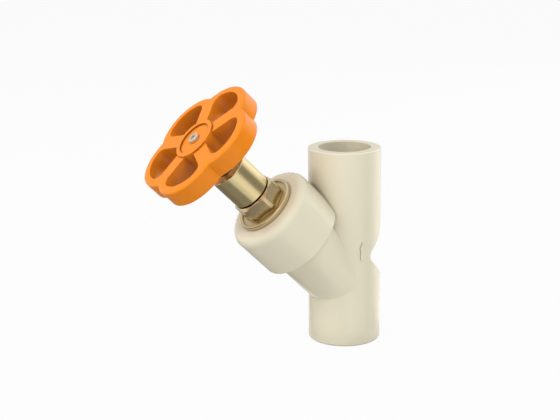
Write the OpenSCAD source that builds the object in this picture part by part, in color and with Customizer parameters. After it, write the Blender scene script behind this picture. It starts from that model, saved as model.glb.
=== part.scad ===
/* [Pipe run] */
// Outside diameter of the straight run
run_d = 35; // [33:0.5:38]
// Length of the run from mouth to mouth
run_len = 95; // [92:1:110]
// Bore of the two pipe sockets
socket_d = 25.2; // [24.8:0.1:25.6]
// Depth of each pipe socket
socket_depth = 19; // [16:0.5:20]
// Bore of the waterway inside the sockets
bore_d = 20; // [18:0.5:21]
// Height above the inlet mouth at which the branch axis crosses the run axis
cross_z = 28.9; // [28:0.1:31]
// Rounding of the outer edge at both mouths
mouth_round = 0.6; // [0.2:0.1:1.2]

/* [Branch] */
// Outside diameter of the branch
branch_d = 34.3; // [33:0.1:34.6]
// Outside diameter of the collar at the end of the branch
collar_d = 43.6; // [42:0.2:46]
// Distance along the branch at which the collar starts
collar_start = 35.1; // [34:0.1:37]
// Distance along the branch at which the collar ends
collar_end = 59.7; // [59:0.1:62]
// Rounding of the collar's front edge
collar_round = 3.8; // [1:0.2:4]
// Rounding of the collar's back edge
collar_back_round = 0.5; // [0.2:0.1:1]

/* [Waterway] */
// Bore of the port under the seat
port_d = 19; // [17:0.5:19.5]
// Bore of the chamber round the disc
chamber_d = 26; // [25.2:0.2:26.4]
// Distance along the branch of the chamber floor
chamber_floor = 11.2; // [11:0.1:11.8]
// Thickness of the wall under the chamber floor
floor_wall = 2.7; // [2.5:0.1:4]
// Thickness of the port wall at the waist of the body
port_wall = 3.3; // [3:0.1:4.5]
// Radius at the bottom of the waist
waist_round = 3.5; // [2:0.25:5]
// Radius where the waist runs out into the run
waist_blend = 9; // [4:0.5:10]

/* [Flow arrow] */
// Length of the raised arrow
arrow_len = 8.9; // [6:0.1:10]
// Length of the arrow's head
arrow_head_len = 3.5; // [2:0.1:4]
// Width of the arrow's head
arrow_head_w = 2.6; // [2.2:0.1:4]
// Width of the arrow's shaft
arrow_shaft_w = 1.8; // [1:0.1:2]
// Height of the arrow above the run
arrow_rise = 0.7; // [0.3:0.05:1]
// Height of the arrow's tail above the branch crossing
arrow_z = 14; // [12:0.2:18]
// Shift of the arrow sideways, towards the branch
arrow_shift = 0.6; // [0:0.1:1]

/* [Seat ring] */
// Outside diameter of the seat ring
seat_ring_d = 22; // [21.4:0.1:23]
// Wall of the seat ring, from its outside to its bore
seat_wall = 2; // [1.8:0.1:3]
// Thickness of the seat ring below the chamber floor
seat_ring_t = 1.4; // [1.2:0.1:1.8]
// Height of the sealing lip above the chamber floor
seat_lip_h = 1; // [0.6:0.1:1.4]
// Width of the sealing lip's flat top
seat_lip_w = 0.8; // [0.5:0.1:1.2]
// Width of the slope on each side of the lip
seat_lip_slope = 0.5; // [0.3:0.1:0.6]

/* [Threaded insert] */
// Thickness of the insert's wide part round the bonnet thread
insert_wall = 4.15; // [3.9:0.05:4.5]
// Length of the insert's wide part
insert_len = 14; // [12:0.5:15]
// Thickness of the plastic in front of the insert
front_wall = 3; // [2.5:0.1:3.5]
// Thickness of the insert's narrow front end
insert_front_wall = 1.15; // [1:0.05:1.3]
// Outside diameter of the bonnet thread
bonnet_thread_d = 25.6; // [25:0.1:25.8]
// Pitch at which the bonnet thread's crests repeat
bonnet_pitch = 2; // [1.5:0.25:2]
// Number of grip grooves round the insert
insert_grooves = 3; // [2:1:3]
// Cord thickness of the insert's sealing ring
insert_ring_t = 1.8; // [1.6:0.1:2.2]
// Distance of the sealing ring from the insert's lower end
insert_ring_at = 2.2; // [2:0.1:2.6]

/* [Bonnet] */
// Distance along the branch of the bonnet's lower end
bonnet_start = 29; // [28:0.5:30]
// Length of the two-flat guide at the bonnet's lower end
guide_len = 7; // [6:0.5:7.5]
// Outside diameter of the guide tube
guide_d = 22; // [20:0.5:23]
// Length of the bonnet thread
bonnet_thread_len = 13; // [10:0.5:14]
// Diameter of the flange
flange_d = 29; // [28.6:0.2:32]
// Thickness of the flange at its raised rim
flange_t = 2.4; // [1.8:0.1:3]
// Width of the flange's raised rim
flange_rim_w = 1.4; // [1:0.1:1.6]
// Depth of the dished face inside the raised rim
flange_dish = 1.1; // [0.5:0.1:1.3]
// Distance across the flats of the hexagon
hex_af = 20; // [19:0.2:21]
// Diameter at which the hexagon's corners are turned off
hex_turned_d = 22.1; // [22:0.05:22.8]
// Distance of the hexagon's top from the collar's front
hex_top = 10.5; // [9:0.1:11]
// Thickness of the gasket under the flange
gasket_t = 1; // [0.6:0.1:1.5]

/* [Neck and gland] */
// Diameter of the bonnet's neck
neck_d = 16.6; // [16.4:0.1:17]
// Length of the neck above the hexagon
neck_len = 13.2; // [12.6:0.1:13.4]
// Diameter of the relief groove between the hexagon and the neck
neck_relief_d = 14.2; // [13.6:0.2:15]
// Height of that groove
neck_relief_h = 1.6; // [1:0.1:2]
// Diameter of the counterbore for the thrust collar and gland
gland_d = 13.2; // [12.8:0.1:13.6]
// Depth of that counterbore
gland_depth = 7; // [6.8:0.1:7.5]
// Height of the gland nut's head
gland_head_h = 3.2; // [2.6:0.1:3.4]
// Distance across the flats of the gland nut's head
gland_head_af = 14; // [13:0.5:14.5]
// Cord thickness of the gland's sealing ring
gland_ring_t = 1.3; // [1:0.1:1.4]

/* [Spindle sleeve] */
// Outside diameter of the sleeve
sleeve_d = 18.9; // [18.7:0.1:20]
// Length of the sleeve
sleeve_len = 17.4; // [17:0.1:19]
// Gap between the hexagon's top and the sleeve
sleeve_gap = 0.5; // [0.3:0.1:1.2]
// Thickness of the sleeve's top
sleeve_top_t = 0.9; // [0.7:0.1:1]
// Rounding of the sleeve's edges
sleeve_round = 0.5; // [0.2:0.1:0.8]

/* [Spindle] */
// Diameter of the spindle's lifting thread
lift_thread_d = 8.9; // [8:0.1:9.2]
// Pitch of the lifting thread
lift_pitch = 2; // [1.5:0.25:2]
// Diameter of the journal that carries the sealing rings
journal_d = 10; // [9.5:0.1:10.4]
// Diameter of the thrust collar
thrust_d = 12.8; // [12.2:0.1:12.8]
// Thickness of the thrust collar
thrust_t = 2.5; // [2:0.1:3]
// Thickness of each thrust washer
thrust_washer_t = 0.5; // [0.4:0.05:0.8]
// Diameter of the spindle above the thrust collar
shaft_d = 8; // [7.6:0.1:8.2]
// Width of the square drive under the handwheel
drive_af = 6.2; // [5.6:0.1:6.4]
// Cord thickness of the two spindle rings
spindle_ring_t = 1.8; // [1.5:0.1:2]
// Distance of the first spindle ring above the journal's lower end
spindle_ring_at = 4; // [3.5:0.25:4.5]
// Distance between the two spindle rings
spindle_ring_step = 5; // [4.5:0.25:5.5]

/* [Disc] */
// Travel of the disc from closed to open
lift = 7.5; // [5:0.5:7.5]
// How far the disc carrier's head reaches past the seat ring
head_over = 0.5; // [0.3:0.1:0.7]
// Thickness of the head above the washer
head_t = 3.5; // [3:0.1:3.8]
// Diameter of the carrier's body
carrier_d = 16; // [15:0.1:16.2]
// Distance across the two flats of the carrier's body
carrier_af = 14; // [13:0.1:14.4]
// Thickness of the carrier's floor under the threaded bore
carrier_floor = 1.5; // [1.3:0.1:1.7]
// Distance of the piston from the guide when the valve is closed
piston_gap = 1.5; // [1:0.25:2]
// Length of the round piston at the carrier's top
piston_len = 8; // [7.5:0.1:8.4]
// Cord thickness of the piston's sealing ring
piston_ring_t = 2; // [1.6:0.1:2.2]
// Thickness of the rubber seat washer
washer_t = 3; // [2.5:0.1:3.5]
// Diameter of the stud under the head
stud_d = 4; // [3.6:0.1:4.2]
// Diameter of the metal plate that holds the washer
retainer_d = 12; // [10:0.5:14]
// Thickness of that plate
retainer_t = 1.2; // [0.8:0.1:1.5]
// Distance across the flats of the nut under the plate
nut_af = 7; // [6.5:0.1:8]
// Height of that nut
nut_h = 2.6; // [2:0.1:3.2]
// Length of the stud below that nut
stud_over = 0.4; // [0.3:0.1:0.6]

/* [Handwheel] */
// Radius of the wheel at the crown of a lobe
wheel_r = 31.4; // [30:0.1:33]
// Radius of the wheel at the corner between two lobes
wheel_corner_r = 26.7; // [26.2:0.1:28]
// Number of lobes, each with one finger hole
lobes = 5; // [5:1:6]
// Thickness of the rim
wheel_t = 9.3; // [8:0.1:10]
// Distance of the rim's top face from the sleeve's top
wheel_face = 21.5; // [20:0.1:24]
// Rounding of the rim's top edge
wheel_round = 1.2; // [0.6:0.1:1.6]
// Rounding of the rim's bottom edge
wheel_low_round = 0.6; // [0.3:0.1:1]
// Width of the rim outside a finger hole
rim_w = 3.8; // [3:0.1:4.5]
// Width of a spoke
spoke_w = 7.3; // [6:0.1:8]
// Rounding of a finger hole's outer corners
hole_round = 4.4; // [3:0.1:5]
// Diameter of the hub
hub_d = 21; // [20:0.2:22]
// Height of the hub above the rim's top face
hub_rise = 0.8; // [0.4:0.1:1.4]
// Width of the hub's raised ring
hub_ring_w = 1.95; // [1:0.05:2.6]
// Depth of the round recess in the hub
hub_recess = 0.8; // [0.4:0.1:1.2]
// Length of the hub below the rim
hub_drop = 7; // [5:0.5:8]
// Diameter of the hub below the rim
hub_low_d = 17; // [16:0.2:19]

/* [Wheel fastening] */
// Diameter of the metal bush in the hub
bush_d = 12; // [11:0.2:13]
// Thickness of the hub's web above the bush
bush_web = 3; // [2:0.1:4]
// Diameter of the screw's head
screw_head_d = 5; // [4.6:0.1:6]
// Height of the screw's head
screw_head_h = 1.5; // [1:0.1:2]
// Diameter of the screw's shank
screw_d = 3; // [2.5:0.1:3]
// Length of the screw's shank
screw_len = 10; // [8:0.5:12]
// Distance across the flats of the screw's socket
screw_socket_af = 2; // [1.8:0.1:2.4]
// Depth of the screw's socket
screw_socket_t = 0.5; // [0.4:0.1:0.8]

/* [Clearances] */
// Clearance on the radius between pieces that are fixed together
fixed_gap = 0.05; // [0.02:0.01:0.1]
// Clearance on the radius between pieces that turn or slide on each other
run_gap = 0.1; // [0.05:0.01:0.1]
// Space left at both ends of the disc's travel
end_gap = 2; // [1.8:0.1:2.4]

/* [Hidden] */
branch_angle = 45;
cut = 1;
far = 80;
$fn = 96;

cream = [0.90, 0.87, 0.77];
orange = [1.00, 0.62, 0.22];
brass = [0.80, 0.70, 0.42];
steel = [0.80, 0.82, 0.80];
rubber = [0.13, 0.13, 0.13];
slippery_white = [0.93, 0.93, 0.91];

run_r = run_d / 2;
socket_r = socket_d / 2;
port_r = port_d / 2;
chamber_r = chamber_d / 2;

// Places along the branch axis, measured from its crossing with the run axis
waist_s = chamber_floor - floor_wall;
waist_v = port_r + port_wall;
lip_s = chamber_floor + seat_lip_h;
insert_top_s = collar_end - front_wall;
insert_start = insert_top_s - insert_len;
thread_end = collar_end - gasket_t;
thread_start = thread_end - bonnet_thread_len;
rim_s = collar_end + flange_t;
dish_s = rim_s - flange_dish;
hex_s = collar_end + hex_top;
neck_s = hex_s + neck_len;
gland_s = neck_s - gland_depth;
sleeve_s = hex_s + sleeve_gap;
sleeve_top_s = sleeve_s + sleeve_len;
thrust_s = gland_s + thrust_washer_t;
thrust_top_s = thrust_s + thrust_t;
gland_nut_s = thrust_top_s + thrust_washer_t;
gland_head_s = neck_s + gland_head_h;
head_s = lip_s + washer_t;
head_top_s = head_s + head_t;
guide_end = bonnet_start + guide_len;
piston_s = guide_end + piston_gap;
piston_top_s = piston_s + piston_len;
cavity_top_s = piston_top_s + lift + end_gap;
rim_top_s = sleeve_top_s + wheel_face;
rim_low_s = rim_top_s - wheel_t;
hub_top_s = rim_top_s + hub_rise;
hub_floor_s = hub_top_s - hub_recess;
hub_low_s = rim_low_s - hub_drop;
bush_top_s = hub_floor_s - bush_web;
spindle_start = head_top_s + lift + end_gap;
carrier_bore_s = head_top_s + carrier_floor;

bonnet_thread_r = bonnet_thread_d / 2;
head_d = seat_ring_d + 2 * head_over;
carrier_r = carrier_d / 2;
carrier_bore_r = carrier_r + run_gap;
journal_bore_r = journal_d / 2 + run_gap;
gland_r = gland_d / 2;
insert_bore_r = bonnet_thread_r + fixed_gap;
insert_r = insert_bore_r + insert_wall;
insert_front_r = insert_bore_r + insert_front_wall;
insert_cavity_r = insert_r + fixed_gap;
insert_ring_s = insert_start + insert_ring_at;
stud_end = lip_s - retainer_t - nut_h - stud_over;

// Stands a child, drawn along +Z from the crossing, on the branch axis
module on_branch() {
  translate([0, 0, cross_z]) rotate([0, -branch_angle, 0]) children();
}

// The corner left over outside a quarter circle, for rounding a profile
module outside_quarter(r) {
  difference() {
    square(r + cut);
    circle(r);
  }
}

// Half outline of a disc from z0 to z1 with rounded top and bottom edges
module disc_outline(r, z0, z1, top_round, low_round) {
  difference() {
    translate([0, z0]) square([r, z1 - z0]);
    translate([r - top_round, z1 - top_round]) outside_quarter(top_round);
    translate([r - low_round, z0 + low_round]) mirror([0, 1]) outside_quarter(low_round);
  }
}

// Half outline of a straight ring from r0 to r1 and z0 to z1
module ring_outline(r0, r1, z0, z1) {
  translate([r0, z0]) square([r1 - r0, z1 - z0]);
}

// V grooves between the crests of a thread on a rod, cut from its half outline
module thread_grooves(r, z0, z1, pitch) {
  depth = pitch * 0.3;
  count = floor((z1 - z0) / pitch);
  for (i = [0 : count - 1]) {
    translate([r, z0 + (i + 0.5) * pitch])
      polygon([[-depth, -pitch * 0.06], [cut, -pitch * 0.42 - cut],
               [cut, pitch * 0.42 + cut], [-depth, pitch * 0.06]]);
  }
}

// A sealing ring of cord thickness t whose outer edge is at radius r
module seal_ring(r, t, z) {
  rotate_extrude() translate([r - t / 2, z]) circle(d = t, $fn = 48);
}

// The straight run with rounded outer edges at both mouths
module run_solid() {
  rotate_extrude() disc_outline(run_r, 0, run_len, mouth_round, mouth_round);
}

// The branch and the collar at its end
module branch_solid() {
  on_branch() {
    cylinder(d = branch_d, h = collar_start + collar_back_round + cut);
    rotate_extrude()
      disc_outline(collar_d / 2, collar_start, collar_end, collar_round, collar_back_round);
  }
}

// Raised arrow in the direction of flow, following the curve of the run
module flow_arrow() {
  shoulder_z = arrow_z + arrow_len - arrow_head_len;
  intersection() {
    translate([0, 0, cross_z]) cylinder(r = run_r + arrow_rise, h = run_len - cross_z - mouth_round);
    translate([-arrow_shift, 0, cross_z]) rotate([90, 0, 0]) linear_extrude(run_r + cut) {
      polygon([[-arrow_shaft_w / 2, arrow_z + arrow_shaft_w / 2],
               [arrow_shaft_w / 2, arrow_z + arrow_shaft_w / 2],
               [arrow_shaft_w / 2, shoulder_z], [arrow_head_w / 2, shoulder_z],
               [0, arrow_z + arrow_len],
               [-arrow_head_w / 2, shoulder_z], [-arrow_shaft_w / 2, shoulder_z]]);
      translate([0, arrow_z + arrow_shaft_w / 2]) circle(d = arrow_shaft_w);
    }
  }
}

// The notch opposite the branch, seen along Y in the branch's own directions
module waist_outline() {
  corner = [waist_v + waist_round, waist_s - waist_round];
  translate([waist_v, -far]) square([far, far + waist_s - waist_round]);
  translate([waist_v + waist_round, -far]) square([far, far + waist_s]);
  translate(corner) circle(waist_round);
}

// Rounds the upper end of the notch into the side of the run
module waist_runout() {
  // Where the upper face of the notch meets the side of the run
  edge_z = run_r * tan(branch_angle) + waist_s / cos(branch_angle);
  reach = waist_blend * tan(branch_angle / 2);
  slope = reach * sin(branch_angle);
  difference() {
    polygon([[run_r + cut, edge_z - cut], [run_r + cut, edge_z + reach],
             [run_r, edge_z + reach], [run_r - slope, edge_z - slope],
             [run_r - slope + cut, edge_z - slope - cut]]);
    translate([run_r - waist_blend, edge_z + reach]) circle(waist_blend);
  }
}

module waist_cut() {
  on_branch() rotate([90, 0, 0]) translate([0, 0, -far / 2]) linear_extrude(far) waist_outline();
  translate([0, 0, cross_z]) rotate([90, 0, 0]) translate([0, 0, -far / 2]) linear_extrude(far)
    waist_runout();
}

// Everything on the inlet side of the wall that carries the seat
module inlet_side() {
  on_branch() translate([port_r - far, -far / 2, waist_s - far]) cube([far, far, far]);
}

// Everything on the outlet side of that wall
module outlet_side() {
  on_branch() translate([-far / 2, -far / 2, chamber_floor]) cube([far, far, far]);
}

module waterway() {
  bore_top = run_len - socket_depth;
  translate([0, 0, -cut]) cylinder(r = socket_r, h = socket_depth + cut);
  translate([0, 0, bore_top]) cylinder(r = socket_r, h = socket_depth + cut);
  intersection() {
    translate([0, 0, socket_depth - cut]) cylinder(d = bore_d, h = cross_z);
    inlet_side();
  }
  intersection() {
    translate([0, 0, socket_depth]) cylinder(d = bore_d, h = bore_top - socket_depth + cut);
    outlet_side();
  }
  on_branch() {
    translate([0, 0, -port_r]) cylinder(r = port_r, h = port_r + chamber_floor);
    translate([0, 0, chamber_floor - seat_ring_t])
      cylinder(r = seat_ring_d / 2 + fixed_gap, h = seat_ring_t + cut);
    translate([0, 0, chamber_floor]) cylinder(r = chamber_r, h = collar_end - chamber_floor);
    translate([0, 0, insert_start]) cylinder(r = insert_cavity_r, h = insert_len);
    translate([0, 0, insert_start]) cylinder(r = insert_front_r + fixed_gap, h = far);
  }
}

module valve_body() {
  color(cream) difference() {
    union() {
      run_solid();
      branch_solid();
      flow_arrow();
    }
    waist_cut();
    waterway();
  }
}

// Threaded bush moulded into the collar, with grip grooves and a sealing ring
module brass_insert() {
  groove_w = 1.2;
  groove_t = 0.8;
  groove_step = 2.6;
  color(brass) on_branch() rotate_extrude() difference() {
    union() {
      ring_outline(insert_bore_r, insert_r, insert_start, insert_top_s);
      ring_outline(insert_bore_r, insert_front_r, insert_top_s - cut, thread_end);
    }
    // Groove of the sealing ring
    ring_outline(insert_r - insert_ring_t, far, insert_ring_s - insert_ring_t * 0.6,
                 insert_ring_s + insert_ring_t * 0.6);
    for (i = [1 : insert_grooves]) {
      ring_outline(insert_r - groove_t, far, insert_ring_s + groove_step * i,
                   insert_ring_s + groove_step * i + groove_w);
    }
  }
}

module insert_o_ring() {
  color(rubber) on_branch() seal_ring(insert_r, insert_ring_t, insert_ring_s);
}

// Ring pressed into the wall under the chamber, with a raised sealing lip
module seat_ring() {
  outer = seat_ring_d / 2;
  inner = outer - seat_wall;
  slope = min(seat_lip_slope, (seat_wall - seat_lip_w) / 2);
  land = inner + slope;
  color(brass) on_branch() rotate_extrude()
    polygon([[inner, chamber_floor - seat_ring_t], [outer, chamber_floor - seat_ring_t],
             [outer, chamber_floor], [land + seat_lip_w + slope, chamber_floor],
             [land + seat_lip_w, lip_s], [land, lip_s], [inner, lip_s - 0.6]]);
}

// Outside of the bonnet below the hexagon, as a half outline
module bonnet_outline() {
  rim_r = flange_rim_w / 2;
  difference() {
    union() {
      ring_outline(0, guide_d / 2, bonnet_start, thread_start + cut);
      ring_outline(0, bonnet_thread_r, thread_start, thread_end);
      ring_outline(0, bonnet_thread_r - 0.8, thread_end - cut, collar_end + cut);
      ring_outline(0, flange_d / 2 - rim_r, collar_end, dish_s);
      ring_outline(flange_d / 2 - flange_rim_w, flange_d / 2, collar_end, rim_s - rim_r);
      translate([flange_d / 2 - rim_r, rim_s - rim_r]) circle(rim_r);
      ring_outline(0, neck_d / 2, dish_s, neck_s);
    }
    thread_grooves(bonnet_thread_r, thread_start, thread_end, bonnet_pitch);
    ring_outline(neck_relief_d / 2, neck_d, hex_s, hex_s + neck_relief_h);
  }
}

// The hexagon, turned off at its corners and chamfered at its top
module bonnet_hexagon() {
  chamfer_h = 0.9;
  turned_r = hex_turned_d / 2;
  intersection() {
    translate([0, 0, dish_s - flange_dish / 2]) rotate([0, 0, 30])
      cylinder(r = hex_af / 2 / cos(30), h = hex_s - dish_s + flange_dish / 2, $fn = 6);
    rotate_extrude()
      polygon([[0, 0], [turned_r, 0], [turned_r, hex_s - chamfer_h],
               [turned_r - chamfer_h * 1.6, hex_s], [0, hex_s]]);
  }
}

// Round bore with two flats that keeps the disc carrier from turning
module two_flat_section(r, half_flat) {
  intersection() {
    circle(r);
    square([4 * r, 2 * half_flat], center = true);
  }
}

module bonnet() {
  color(brass) on_branch() difference() {
    union() {
      rotate_extrude() bonnet_outline();
      bonnet_hexagon();
    }
    translate([0, 0, bonnet_start - cut]) linear_extrude(guide_len + 2 * cut)
      two_flat_section(carrier_bore_r, carrier_af / 2 + run_gap);
    translate([0, 0, guide_end]) cylinder(r = carrier_bore_r, h = cavity_top_s - guide_end);
    translate([0, 0, cavity_top_s - cut]) cylinder(r = journal_bore_r, h = far);
    translate([0, 0, gland_s]) cylinder(r = gland_r, h = far);
  }
}

module bonnet_gasket() {
  color(rubber) on_branch() rotate_extrude()
    ring_outline(bonnet_thread_r - 0.8 + fixed_gap, insert_front_r, thread_end, collar_end);
}

// Nut that traps the spindle's thrust collar in the neck
module gland_nut() {
  ring_s = neck_s - gland_ring_t;
  color(brass) on_branch() difference() {
    union() {
      rotate_extrude() difference() {
        ring_outline(0, gland_r - fixed_gap, gland_nut_s, neck_s + cut);
        thread_grooves(gland_r - fixed_gap, gland_nut_s, neck_s, 1);
      }
      translate([0, 0, neck_s])
        cylinder(r = gland_head_af / 2 / cos(30), h = gland_head_h, $fn = 6);
    }
    translate([0, 0, gland_nut_s - cut]) cylinder(r = shaft_d / 2 + run_gap, h = far);
    rotate_extrude() ring_outline(0, shaft_d / 2 + run_gap / 2 + gland_ring_t,
                                  ring_s - gland_ring_t * 0.6, ring_s + gland_ring_t * 0.6);
  }
}

module gland_o_ring() {
  color(rubber) on_branch()
    seal_ring(shaft_d / 2 + run_gap / 2 + gland_ring_t, gland_ring_t, neck_s - gland_ring_t);
}

// Polished cap that screws over the neck and hides the gland
module spindle_sleeve() {
  cavity_r = neck_d / 2 + fixed_gap;
  color(brass) on_branch() difference() {
    rotate_extrude()
      disc_outline(sleeve_d / 2, sleeve_s, sleeve_top_s, sleeve_round, sleeve_round);
    translate([0, 0, sleeve_s - cut]) cylinder(r = cavity_r, h = sleeve_len - sleeve_top_t + cut);
    translate([0, 0, sleeve_s]) cylinder(r = shaft_d / 2 + 0.6, h = far);
  }
}

// A thrust washer of low-friction plastic between the collar and its seat
module thrust_washer(z, inner) {
  color(slippery_white) on_branch() rotate_extrude()
    ring_outline(inner + run_gap, gland_r - fixed_gap, z, z + thrust_washer_t);
}

module lower_thrust_washer() {
  thrust_washer(gland_s, journal_d / 2);
}

module upper_thrust_washer() {
  thrust_washer(thrust_top_s, shaft_d / 2);
}

// Height of each of the two sealing rings on the spindle's journal
function spindle_ring_s(i) = cavity_top_s + spindle_ring_at + i * spindle_ring_step;

module spindle() {
  drive_top = bush_top_s - 0.5;
  core = journal_d / 2 - spindle_ring_t;
  color(brass) on_branch() difference() {
    union() {
      rotate_extrude() difference() {
        union() {
          ring_outline(0, lift_thread_d / 2, spindle_start, cavity_top_s);
          ring_outline(0, journal_d / 2, cavity_top_s - cut, thrust_s + cut);
          ring_outline(0, thrust_d / 2, thrust_s, thrust_top_s);
          ring_outline(0, shaft_d / 2, thrust_top_s - cut, hub_low_s);
        }
        thread_grooves(lift_thread_d / 2, spindle_start, cavity_top_s - cut, lift_pitch);
        for (i = [0 : 1]) {
          ring_outline(core, far, spindle_ring_s(i) - spindle_ring_t * 0.6,
                       spindle_ring_s(i) + spindle_ring_t * 0.6);
        }
      }
      translate([-drive_af / 2, -drive_af / 2, hub_low_s - cut])
        cube([drive_af, drive_af, drive_top - hub_low_s + cut]);
    }
    // Tapped hole for the wheel's screw
    translate([0, 0, hub_floor_s - screw_len - cut])
      cylinder(r = screw_d / 2 + fixed_gap, h = screw_len + 2 * cut);
  }
}

module spindle_o_rings() {
  color(rubber) on_branch() for (i = [0 : 1]) {
    seal_ring(journal_d / 2 + run_gap / 2, spindle_ring_t, spindle_ring_s(i));
  }
}

// The lobes are arcs about centres at lobe_off, chosen so that neighbours meet
// at wheel_corner_r and each crown reaches wheel_r
half_pitch = 180 / lobes;
lobe_off = (wheel_r * wheel_r - wheel_corner_r * wheel_corner_r)
  / (2 * (wheel_r - wheel_corner_r * cos(half_pitch)));
lobe_r = wheel_r - lobe_off;

// Outline of one finger hole, centred on +X
module finger_hole() {
  outer_r = lobe_r - rim_w;
  inset = spoke_w / 2 + hole_round;
  // Distance along the spoke of the centre of the rounded corner
  gap = inset * inset - 2 * lobe_off * sin(half_pitch) * inset + lobe_off * lobe_off
    - (outer_r - hole_round) * (outer_r - hole_round);
  along = lobe_off * cos(half_pitch) + sqrt(pow(lobe_off * cos(half_pitch), 2) - gap);
  centre = along * [cos(half_pitch), sin(half_pitch)] + inset * [sin(half_pitch), -cos(half_pitch)];
  touch = centre - hole_round * [sin(half_pitch), -cos(half_pitch)];
  outward = (centre - [lobe_off, 0]) / norm(centre - [lobe_off, 0]);
  tip = [lobe_off, 0] + outward * (outer_r + cut);
  apex = [spoke_w / 2 / sin(half_pitch), 0];
  mirror_y = [[1, 0], [0, -1]];
  intersection() {
    translate([lobe_off, 0]) circle(outer_r, $fn = 180);
    polygon([apex, mirror_y * touch, mirror_y * centre, mirror_y * tip,
             [wheel_r + cut, 0], tip, centre, touch]);
  }
  translate(centre) circle(hole_round);
  translate(mirror_y * centre) circle(hole_round);
}

module handwheel() {
  color(orange) on_branch() difference() {
    union() {
      difference() {
        for (i = [0 : lobes - 1]) {
          rotate([0, 0, i * 2 * half_pitch]) translate([lobe_off, 0, 0]) rotate_extrude($fn = 180)
            disc_outline(lobe_r, rim_low_s, rim_top_s, wheel_round, wheel_low_round);
        }
        for (i = [0 : lobes - 1]) {
          rotate([0, 0, i * 2 * half_pitch]) translate([0, 0, rim_low_s - cut])
            linear_extrude(wheel_t + 2 * cut) finger_hole();
        }
      }
      translate([0, 0, rim_low_s]) cylinder(r = hub_d / 2, h = hub_top_s - rim_low_s);
      translate([0, 0, hub_low_s]) cylinder(r = hub_low_d / 2, h = hub_drop + cut);
    }
    translate([0, 0, hub_floor_s]) cylinder(r = hub_d / 2 - hub_ring_w, h = hub_recess + cut);
    translate([0, 0, hub_low_s - cut])
      cylinder(r = bush_d / 2 + fixed_gap, h = bush_top_s - hub_low_s + cut);
    translate([0, 0, hub_low_s]) cylinder(r = screw_d / 2 + fixed_gap, h = far);
  }
}

// Metal bush in the hub whose square hole takes the spindle's drive
module wheel_bush() {
  side = drive_af + 2 * fixed_gap;
  color(brass) on_branch() difference() {
    translate([0, 0, hub_low_s]) cylinder(r = bush_d / 2, h = bush_top_s - hub_low_s);
    translate([-side / 2, -side / 2, hub_low_s - cut])
      cube([side, side, bush_top_s - hub_low_s + 2 * cut]);
  }
}

module wheel_screw() {
  color(steel) on_branch() difference() {
    union() {
      rotate_extrude()
        disc_outline(screw_head_d / 2, hub_floor_s, hub_floor_s + screw_head_h, 0.3, 0.05);
      translate([0, 0, hub_floor_s - screw_len]) cylinder(r = screw_d / 2, h = screw_len + 0.5);
    }
    translate([0, 0, hub_floor_s + screw_head_h - screw_socket_t])
      cylinder(r = screw_socket_af / 2 / cos(30), h = screw_head_h, $fn = 6);
  }
}

// Sliding carrier: a head over the washer, a body with two flats and a piston
module disc_carrier() {
  groove_s = piston_s + piston_len / 2;
  skirt_h = 1.8;
  color(brass) on_branch() difference() {
    union() {
      translate([0, 0, head_s]) cylinder(r = head_d / 2, h = head_t);
      // Skirt round the washer
      rotate_extrude() ring_outline(head_d / 2 - 0.6, head_d / 2, head_s - skirt_h, head_s + cut);
      translate([0, 0, head_top_s - cut]) linear_extrude(piston_s - head_top_s + cut)
        two_flat_section(carrier_r, carrier_af / 2);
      rotate_extrude() difference() {
        ring_outline(0, carrier_r, piston_s, piston_top_s);
        ring_outline(carrier_r - piston_ring_t, far, groove_s - piston_ring_t * 0.6,
                     groove_s + piston_ring_t * 0.6);
      }
      translate([0, 0, stud_end]) cylinder(r = stud_d / 2, h = head_s - stud_end + cut);
    }
    translate([0, 0, carrier_bore_s])
      cylinder(r = lift_thread_d / 2 + run_gap, h = piston_top_s - carrier_bore_s + cut);
  }
}

module carrier_o_ring() {
  color(rubber) on_branch()
    seal_ring(carrier_r + run_gap / 2, piston_ring_t, piston_s + piston_len / 2);
}

module seat_washer() {
  color(rubber) on_branch() rotate_extrude()
    ring_outline(stud_d / 2 + fixed_gap, head_d / 2 - 0.6 - fixed_gap, lip_s, head_s);
}

module washer_retainer() {
  color(brass) on_branch() rotate_extrude()
    ring_outline(stud_d / 2 + fixed_gap, retainer_d / 2, lip_s - retainer_t, lip_s);
}

module retainer_nut() {
  nut_s = lip_s - retainer_t - nut_h;
  color(brass) on_branch() difference() {
    translate([0, 0, nut_s]) cylinder(r = nut_af / 2 / cos(30), h = nut_h, $fn = 6);
    translate([0, 0, nut_s - cut]) cylinder(r = stud_d / 2 + fixed_gap, h = nut_h + 2 * cut);
  }
}

valve_body();
brass_insert();
insert_o_ring();
seat_ring();
bonnet();
bonnet_gasket();
gland_nut();
gland_o_ring();
spindle_sleeve();
lower_thrust_washer();
upper_thrust_washer();
spindle();
spindle_o_rings();
handwheel();
wheel_bush();
wheel_screw();
disc_carrier();
carrier_o_ring();
seat_washer();
washer_retainer();
retainer_nut();
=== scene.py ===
import bpy
import bmesh
import math
from mathutils import Matrix, Vector

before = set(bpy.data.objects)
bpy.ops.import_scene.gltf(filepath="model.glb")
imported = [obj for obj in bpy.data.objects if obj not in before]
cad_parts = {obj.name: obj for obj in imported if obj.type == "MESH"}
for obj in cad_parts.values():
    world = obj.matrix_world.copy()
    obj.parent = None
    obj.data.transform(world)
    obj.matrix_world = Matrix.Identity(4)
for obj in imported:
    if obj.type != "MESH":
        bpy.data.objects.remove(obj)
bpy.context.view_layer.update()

# The branch's axis crosses the run's axis here and leans 45 degrees towards -X
CROSSING = Vector((0.0, 0.0, 0.0289))
BRANCH_TILT = math.radians(-45)

# The pipe sockets' bore, and how far past its wall the bore's painted shade reaches
SOCKET_BORE_RADIUS = 0.0126
BORE_MARGIN = 0.00015

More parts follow.
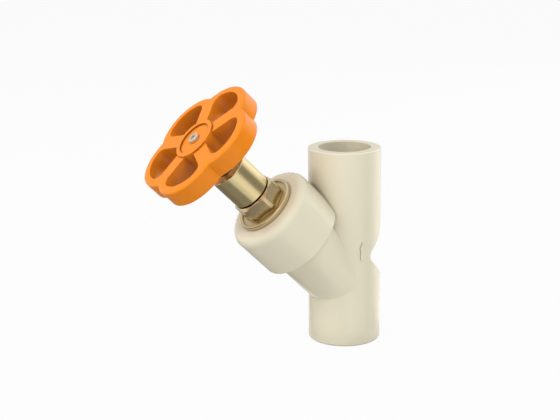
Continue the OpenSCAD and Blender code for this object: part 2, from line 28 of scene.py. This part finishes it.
# The photograph's camera: its place, the way back to it, the way to its right, and its lens in mm
CAMERA_PLACE = Vector((-0.28472, -0.47943, 0.20793))
CAMERA_BACK = Vector((-0.44708, -0.85879, 0.25021))
CAMERA_RIGHT = Vector((0.88567, -0.46419, -0.01067))
LENS = 76.34
SENSOR_WIDTH = 36.0
NEAREST_SEEN = 0.01
FARTHEST_SEEN = 10.0

# The point near the valve's middle that the lamps and boards face
STUDIO_CENTRE = Vector((-0.035, 0.0, 0.06))
# Strength of the room's own light on the valve
ROOM_LIGHT = 0.26
# The floor: its size, its drop below the valve's foot, its tone, and how white it is seen and mirrored
FLOOR_SIZE = 6.0
FLOOR_DROP = 0.0005
FLOOR_TONE = 0.58
FLOOR_SEEN = 0.95
FLOOR_MIRRORED = 0.62
# Wedges on the floor: their height above the ground, and their nearest and farthest reach
WEDGE_HEIGHT = 0.0008
WEDGE_NEAR = 0.03
WEDGE_FAR = 0.45
# The faintly warm tint of every board
BOARD_TINT = (1.0, 0.96, 0.90)

WHITE = (1.0, 1.0, 1.0, 1.0)


# Camera at the photograph's angle
def add_camera():
    back = CAMERA_BACK.normalized()
    right = (CAMERA_RIGHT - back * CAMERA_RIGHT.dot(back)).normalized()
    up = back.cross(right)
    data = bpy.data.cameras.new("camera")
    data.lens = LENS
    data.sensor_width = SENSOR_WIDTH
    data.clip_start = NEAREST_SEEN
    data.clip_end = FARTHEST_SEEN
    camera = bpy.data.objects.new("camera", data)
    turned = Matrix((right, up, back)).transposed().to_4x4()
    camera.matrix_world = Matrix.Translation(CAMERA_PLACE) @ turned
    bpy.context.scene.collection.objects.link(camera)
    bpy.context.scene.camera = camera


# A colour as it shows on screen, 0 to 255, turned into the linear values that a shader takes
def srgb(*shown):
    linear = []
    for value in shown:
        share = value / 255.0
        linear.append(share / 12.92 if share <= 0.04045 else ((share + 0.055) / 1.055) ** 2.4)
    return (*linear, 1.0)


# A socket takes a wire from another node's output, or a plain value
def feed(tree, socket, value):
    if isinstance(value, bpy.types.NodeSocket):
        tree.links.new(value, socket)
    else:
        socket.default_value = value


# A node's settings come before its inputs, because they decide which inputs it has
def add_node(tree, kind, inputs=None, **settings):
    made = tree.nodes.new(kind)
    for key, value in settings.items():
        setattr(made, key, value)
    for key, value in (inputs or {}).items():
        feed(tree, made.inputs[key], value)
    return made


def add_math(tree, operation, *values):
    return add_node(tree, "ShaderNodeMath", dict(enumerate(values)), operation=operation).outputs[0]


# The colour mix has its share first, its two colours at 6 and 7, and its colour result at 2
def mix_colours(tree, share, first, second):
    return add_node(tree, "ShaderNodeMix", {0: share, 6: first, 7: second}, data_type="RGBA").outputs[2]


def scale_colour(tree, colour, level):
    made = add_node(tree, "ShaderNodeVectorMath", {0: colour, "Scale": level}, operation="SCALE")
    return made.outputs[0]


# A group whose inputs are colours and numbers, told apart by the values that they start with
def group_of(name, inputs, outputs):
    group = bpy.data.node_groups.new(name, "ShaderNodeTree")
    for label, value in inputs.items():
        kind = "NodeSocketColor" if isinstance(value, tuple) else "NodeSocketFloat"
        socket = group.interface.new_socket(label, in_out="INPUT", socket_type=kind)
        socket.default_value = value
    for label, kind in outputs.items():
        group.interface.new_socket(label, in_out="OUTPUT", socket_type=kind)
    given = group.nodes.new("NodeGroupInput").outputs
    out = group.nodes.new("NodeGroupOutput").inputs
    return group, given, out


# The parts of a place, and its distance from the upright axis through the origin
def parts_and_radius(group, place):
    parts = add_node(group, "ShaderNodeSeparateXYZ", {0: place}).outputs
    flat = add_node(group, "ShaderNodeCombineXYZ", {"X": parts["X"], "Y": parts["Y"]})
    length = add_node(group, "ShaderNodeVectorMath", {0: flat.outputs[0]}, operation="LENGTH")
    return parts, length.outputs["Value"]


# Painted shade inside the sockets' bore: a darker colour there, with the faint upright ribs that show inside
# the mouth
def bore_shade_group():
    bore_shade_share = 0.86
    rib_swing = 0.10
    group, given, out = group_of(
        "painted_bore_shade",
        {"Colour": WHITE, "Bore Shade Colour": (0.3, 0.3, 0.3, 1.0),
         "Bore Radius": SOCKET_BORE_RADIUS + BORE_MARGIN, "Ribs": 90.0},
        {"Colour": "NodeSocketColor"})
    place = add_node(group, "ShaderNodeTexCoord").outputs["Object"]
    parts, radius = parts_and_radius(group, place)
    inside = add_math(group, "LESS_THAN", radius, given["Bore Radius"])
    angle = add_math(group, "ARCTAN2", parts["Y"], parts["X"])
    wave = add_math(group, "SINE", add_math(group, "MULTIPLY", angle, given["Ribs"]))
    share = add_math(group, "MULTIPLY_ADD", wave, rib_swing, bore_shade_share)
    amount = add_math(group, "MULTIPLY", inside, share)
    feed(group, out["Colour"], mix_colours(group, amount, given["Colour"], given["Bore Shade Colour"]))
    return group


# How open a surface is within a reach, from the lowest level in a corner to 1 in the open
def openness(group, reach, samples, closed_at, open_at, lowest=0.0):
    around = add_node(group, "ShaderNodeAmbientOcclusion", {"Distance": reach}, samples=samples)
    limits = {"Value": around.outputs["AO"], "From Min": closed_at, "From Max": open_at, "To Min": lowest}
    return add_node(group, "ShaderNodeMapRange", limits, interpolation_type="SMOOTHSTEP").outputs["Result"]


# Painted shade in hollows and inner corners: the colour darkens where the surface is closed in, and darker
# still in tight creases
def paint_shade_in_hollows(group, given, colour):
    hollow = openness(group, given["Hollow Reach"], samples=12, closed_at=0.15, open_at=0.90)
    hollow_shaded = mix_colours(group, hollow, given["Hollow Colour"], colour)
    crease = openness(group, given["Crease Reach"], samples=10, closed_at=0.30, open_at=0.85,
                      lowest=given["Crease Shade"])
    return scale_colour(group, hollow_shaded, crease)


# Soft clouds that swing as far below nothing as above it
def cloud_swing(group, place, scale, detail):
    cloud = add_node(group, "ShaderNodeTexNoise", {"Vector": place, "Scale": scale, "Detail": detail})
    return add_math(group, "SUBTRACT", cloud.outputs["Fac"], 0.5)


# The piece's colour, a little lighter and darker with the clouds, with painted shade in its hollows
def clouded_and_shaded_colour(group, given, cloud):
    level = add_math(group, "MULTIPLY_ADD", cloud, given["Tone"], 1.0)
    return paint_shade_in_hollows(group, given, scale_colour(group, given["Colour"], level))


# Fine relief over the small rounding that every real edge has
def fine_relief(group, given, height, strength, distance):
    edge = add_node(group, "ShaderNodeBevel", {"Radius": given["Edge Radius"]}, samples=6)
    bump = add_node(group, "ShaderNodeBump", {
        "Strength": strength, "Distance": distance, "Height": height, "Normal": edge.outputs["Normal"]})
    return bump.outputs[0]


SKIN_OUTPUTS = {"Colour": "NodeSocketColor", "Roughness": "NodeSocketFloat", "Normal": "NodeSocketVector"}


# Fine cloudy tone and skin of a moulded plastic, with painted shade in its hollows and creases
def moulded_skin_group():
    roughness_swing = 0.12
    skin_height = 0.0001
    group, given, out = group_of(
        "moulded_skin",
        {"Colour": WHITE, "Tone": 0.05, "Skin Size": 900.0, "Skin Depth": 0.1,
         "Roughness": 0.4, "Edge Radius": 0.0003,
         "Hollow Colour": (0.5, 0.5, 0.5, 1.0), "Hollow Reach": 0.01,
         "Crease Reach": 0.0022, "Crease Shade": 0.62},
        SKIN_OUTPUTS)
    place = add_node(group, "ShaderNodeTexCoord").outputs["Object"]
    cloud = cloud_swing(group, place, scale=45.0, detail=3.0)
    skin = add_node(group, "ShaderNodeTexNoise", {
        "Vector": place, "Scale": given["Skin Size"], "Detail": 4.0}).outputs["Fac"]
    feed(group, out["Colour"], clouded_and_shaded_colour(group, given, cloud))
    feed(group, out["Roughness"], add_math(group, "MULTIPLY_ADD", cloud, roughness_swing, given["Roughness"]))
    feed(group, out["Normal"], fine_relief(group, given, skin, given["Skin Depth"], skin_height))
    return group


# Fine rings that a lathe leaves round the branch's axis, with painted shade in hollows and creases
def turning_marks_group():
    roughness_swing = 0.04
    ring_height = 0.00005
    group, given, out = group_of(
        "turning_marks",
        {"Colour": WHITE, "Tone": 0.1, "Ring Size": 2500.0, "Ring Depth": 0.1,
         "Roughness": 0.25, "Edge Radius": 0.0002,
         "Hollow Colour": (0.1, 0.08, 0.05, 1.0), "Hollow Reach": 0.003,
         "Crease Reach": 0.0008, "Crease Shade": 0.5},
        SKIN_OUTPUTS)
    place = add_node(group, "ShaderNodeTexCoord").outputs["Object"]
    on_branch = add_node(
        group, "ShaderNodeMapping",
        {"Vector": place, "Location": CROSSING, "Rotation": (0.0, BRANCH_TILT, 0.0)},
        vector_type="TEXTURE").outputs[0]
    parts, radius = parts_and_radius(group, on_branch)
    ring = add_node(group, "ShaderNodeCombineXYZ", {"X": radius, "Z": parts["Z"]}).outputs[0]
    marks = add_node(group, "ShaderNodeTexNoise", {
        "Vector": ring, "Scale": given["Ring Size"], "Detail": 3.0, "Roughness": 0.7}).outputs["Fac"]
    cloud = cloud_swing(group, place, scale=120.0, detail=4.0)
    feed(group, out["Colour"], clouded_and_shaded_colour(group, given, cloud))
    feed(group, out["Roughness"], add_math(group, "MULTIPLY_ADD", marks, roughness_swing, given["Roughness"]))
    feed(group, out["Normal"], fine_relief(group, given, marks, given["Ring Depth"], ring_height))
    return group


# A material that wears one of the skin groups, with its own values for the group's inputs
def skinned_material(name, group, colour, metallic=0.0, specular=0.5, **values):
    material = bpy.data.materials.new(name)
    material.use_nodes = True
    tree = material.node_tree
    shader = tree.nodes["Principled BSDF"].inputs
    shader["Metallic"].default_value = metallic
    shader["Specular IOR Level"].default_value = specular
    skin = add_node(tree, "ShaderNodeGroup", node_tree=group)
    skin.inputs["Colour"].default_value = colour
    for key, value in values.items():
        skin.inputs[key.replace("_", " ")].default_value = value
    feed(tree, shader["Base Color"], skin.outputs["Colour"])
    feed(tree, shader["Roughness"], skin.outputs["Roughness"])
    feed(tree, shader["Normal"], skin.outputs["Normal"])
    return material


# The body's plastic is the cream one with painted shade added inside the socket bores
def shade_the_sockets(material, bore_shade_colour):
    tree = material.node_tree
    shader = tree.nodes["Principled BSDF"].inputs
    skin = shader["Base Color"].links[0].from_node
    bore = add_node(tree, "ShaderNodeGroup", node_tree=bore_shade_group())
    bore.inputs["Bore Shade Colour"].default_value = bore_shade_colour
    feed(tree, bore.inputs["Colour"], skin.outputs["Colour"])
    feed(tree, shader["Base Color"], bore.outputs["Colour"])


moulded_skin = moulded_skin_group()
turning_marks = turning_marks_group()
# Each material's hollow colour and reach set its painted shade in hollows, and its crease shade sets the
# painted shade in creases
cream_plastic = skinned_material(
    "cream_plastic", moulded_skin, srgb(236, 229, 204), Roughness=0.13, Tone=0.03,
    Skin_Depth=0.06, Edge_Radius=0.0002, Hollow_Colour=srgb(200, 192, 168), Hollow_Reach=0.022)
# The socket bores get a darker painted shade colour
shade_the_sockets(cream_plastic, bore_shade_colour=srgb(210, 203, 181))
orange_plastic = skinned_material(
    "orange_plastic", moulded_skin, srgb(242, 139, 27), specular=0.22, Roughness=0.20,
    Skin_Depth=0.08, Edge_Radius=0.00018, Hollow_Colour=srgb(90, 60, 30), Hollow_Reach=0.018)
white_plastic = skinned_material("white_plastic", moulded_skin, srgb(236, 236, 230), Roughness=0.45)
black_rubber = skinned_material(
    "black_rubber", moulded_skin, srgb(32, 32, 32), Roughness=0.65, Hollow_Colour=srgb(20, 20, 20))
polished_brass = skinned_material(
    "polished_brass", turning_marks, srgb(222, 205, 157), metallic=1.0, Roughness=0.235, Tone=0.05,
    Ring_Depth=0.012, Edge_Radius=0.00015, Hollow_Colour=srgb(60, 44, 26), Hollow_Reach=0.0015)
turned_brass = skinned_material(
    "turned_brass", turning_marks, srgb(210, 192, 152), metallic=1.0, Roughness=0.23, Tone=0.10,
    Ring_Depth=0.015, Edge_Radius=0.00012, Hollow_Colour=srgb(70, 54, 34), Hollow_Reach=0.0012,
    Crease_Shade=0.85)
bright_steel = skinned_material(
    "bright_steel", turning_marks, srgb(226, 228, 220), metallic=1.0, Roughness=0.38, Tone=0.04,
    Ring_Depth=0.02, Edge_Radius=0.0001, Hollow_Colour=srgb(190, 180, 165), Hollow_Reach=0.0006)

# All pieces but these are turned brass
finishes = {
    "valve_body": cream_plastic,
    "handwheel": orange_plastic,
    "lower_thrust_washer": white_plastic,
    "upper_thrust_washer": white_plastic,
    "insert_o_ring": black_rubber,
    "bonnet_gasket": black_rubber,
    "gland_o_ring": black_rubber,
    "spindle_o_rings": black_rubber,
    "carrier_o_ring": black_rubber,
    "seat_washer": black_rubber,
    "wheel_screw": bright_steel,
    "spindle_sleeve": polished_brass,
}

for name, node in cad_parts.items():
    node.data.materials.clear()
    node.data.materials.append(finishes.get(name, turned_brass))


# A soft square lamp that faces the valve and that no polished surface mirrors
def add_lamp(name, place, size, power):
    data = bpy.data.lights.new(name, "AREA")
    data.shape = "SQUARE"
    data.size = size
    data.energy = power
    lamp = bpy.data.objects.new(name, data)
    lamp.location = place
    lamp.rotation_euler = (STUDIO_CENTRE - Vector(place)).to_track_quat("-Z", "Y").to_euler()
    lamp.visible_glossy = False
    bpy.context.scene.collection.objects.link(lamp)


# A flat sheet of the studio, from a shape that lies round the origin
def stage_sheet(name, bm):
    mesh = bpy.data.meshes.new(name)
    bm.to_mesh(mesh)
    bm.free()
    sheet = bpy.data.objects.new(name, mesh)
    bpy.context.scene.collection.objects.link(sheet)
    return sheet


def rectangle(width, depth):
    bm = bmesh.new()
    bmesh.ops.create_grid(bm, x_segments=2, y_segments=2, size=0.5)
    bmesh.ops.scale(bm, verts=bm.verts, vec=(width, depth, 1.0))
    return bm


# Only polished surfaces see the sheet, which glows with its shade: a painted reflection, bright or dark
def show_only_mirrored(sheet, shade):
    for ray in ("visible_camera", "visible_diffuse", "visible_shadow", "visible_transmission"):
        setattr(sheet, ray, False)
    material = bpy.data.materials.new(sheet.name + "_mirrored_glow")
    material.use_nodes = True
    tree = material.node_tree
    tree.nodes.clear()
    colour = (*(shade * part for part in BOARD_TINT), 1.0)
    glow = add_node(tree, "ShaderNodeEmission", {"Color": colour})
    add_node(tree, "ShaderNodeOutputMaterial", {"Surface": glow.outputs[0]})
    sheet.data.materials.append(material)


# A board that faces the studio's centre, or another point
def add_board(name, place, size, shade, aim=STUDIO_CENTRE):
    board = stage_sheet(name, rectangle(*size))
    board.location = place
    board.rotation_euler = (Vector(aim) - Vector(place)).to_track_quat("Z", "Y").to_euler()
    show_only_mirrored(board, shade)


# A board on the floor round the run's foot, between two angles counted from the front towards +X
def add_wedge(name, start, end, shade):
    bm = bmesh.new()
    bmesh.ops.create_grid(bm, x_segments=8, y_segments=1, size=0.5)
    for vert in bm.verts:
        angle = math.radians(start + (end - start) * (vert.co.x + 0.5))
        reach = WEDGE_NEAR + (WEDGE_FAR - WEDGE_NEAR) * (vert.co.y + 0.5)
        vert.co = (math.sin(angle) * reach, -math.cos(angle) * reach, 0.0)
    wedge = stage_sheet(name, bm)
    wedge.location.z = WEDGE_HEIGHT
    show_only_mirrored(wedge, shade)


# The share of plain white for the rays that see a surface, and for those that see it mirrored
def ray_share(tree, seen, mirrored):
    path = add_node(tree, "ShaderNodeLightPath").outputs
    direct = add_math(tree, "MAXIMUM", path["Is Camera Ray"], path["Is Transmission Ray"])
    share_seen = add_math(tree, "MULTIPLY", direct, seen)
    share_mirrored = add_math(tree, "MULTIPLY", path["Is Glossy Ray"], mirrored)
    return add_math(tree, "MAXIMUM", share_seen, share_mirrored)


# A white room to look at, with a fainter light of its own
def add_room():
    world = bpy.data.worlds.new("studio")
    bpy.context.scene.world = world
    world.use_nodes = True
    tree = world.node_tree
    tree.nodes.clear()
    seen = add_node(tree, "ShaderNodeBackground", {"Color": WHITE})
    light = add_node(tree, "ShaderNodeBackground", {"Color": WHITE, "Strength": ROOM_LIGHT})
    mix = add_node(tree, "ShaderNodeMixShader", {
        0: ray_share(tree, 1.0, 1.0), 1: light.outputs[0], 2: seen.outputs[0]})
    add_node(tree, "ShaderNodeOutputWorld", {"Surface": mix.outputs[0]})


# A matt floor that is nearly white to look at and keeps a faint shadow
def add_floor():
    floor = stage_sheet("floor", rectangle(FLOOR_SIZE, FLOOR_SIZE))
    floor.location.z = -FLOOR_DROP
    material = bpy.data.materials.new("pale_floor")
    material.use_nodes = True
    tree = material.node_tree
    shader = tree.nodes["Principled BSDF"]
    shader.inputs["Base Color"].default_value = (FLOOR_TONE, FLOOR_TONE, FLOOR_TONE, 1.0)
    shader.inputs["Roughness"].default_value = 0.9
    shader.inputs["Specular IOR Level"].default_value = 0.1
    glow = add_node(tree, "ShaderNodeEmission", {"Strength": 1.0})
    mix = add_node(tree, "ShaderNodeMixShader", {
        0: ray_share(tree, FLOOR_SEEN, FLOOR_MIRRORED), 1: shader.outputs[0], 2: glow.outputs[0]})
    feed(tree, tree.nodes["Material Output"].inputs["Surface"], mix.outputs[0])
    floor.data.materials.append(material)


# Soft lamps light the valve. Boards and wedges glow only in reflections, painted reflections that give its
# polished surfaces their light and dark bands
def add_studio():
    add_lamp("key_lamp", (-0.85, 0.10, 0.66), size=0.7, power=7.6)
    add_lamp("top_lamp", (0.05, -0.75, 1.00), size=0.5, power=4.8)
    add_lamp("fill_lamp", (0.90, 0.12, 0.30), size=0.7, power=6.3)
    add_lamp("front_lamp", (-0.25, -1.00, 0.22), size=0.6, power=2.5)
    add_board("front_board", (0.411, -0.381, 0.06), size=(0.51, 0.62), shade=0.28)
    add_board("side_board", (0.58, 0.18, 0.20), size=(0.36, 0.40), shade=1.5)
    # A dark board on the floor under the wheel: painted shadow that polished surfaces mirror
    add_board("floor_shadow_board", (-0.12, 0.05, 0.0005), size=(0.20, 0.24), shade=0.22, aim=(-0.12, 0.05, 0.5))
    add_board("back_board", (-0.20, 0.62, 0.42), size=(0.70, 0.45), shade=0.65)
    add_board("upper_board", (-0.49, -0.44, 0.70), size=(0.36, 0.36), shade=2.2)
    add_board("rear_board", (0.32, 0.62, 0.275), size=(0.34, 0.26), shade=0.55)
    add_wedge("left_dark_wedge", start=-100, end=-60, shade=0.30)
    add_wedge("front_bright_wedge", start=-19, end=20, shade=1.12)
    add_wedge("right_dark_wedge", start=31, end=67, shade=0.12)
    add_wedge("right_bright_wedge", start=80, end=118, shade=1.2)
    add_room()
    add_floor()


add_camera()
add_studio()
bpy.context.scene.view_settings.view_transform = "Standard"
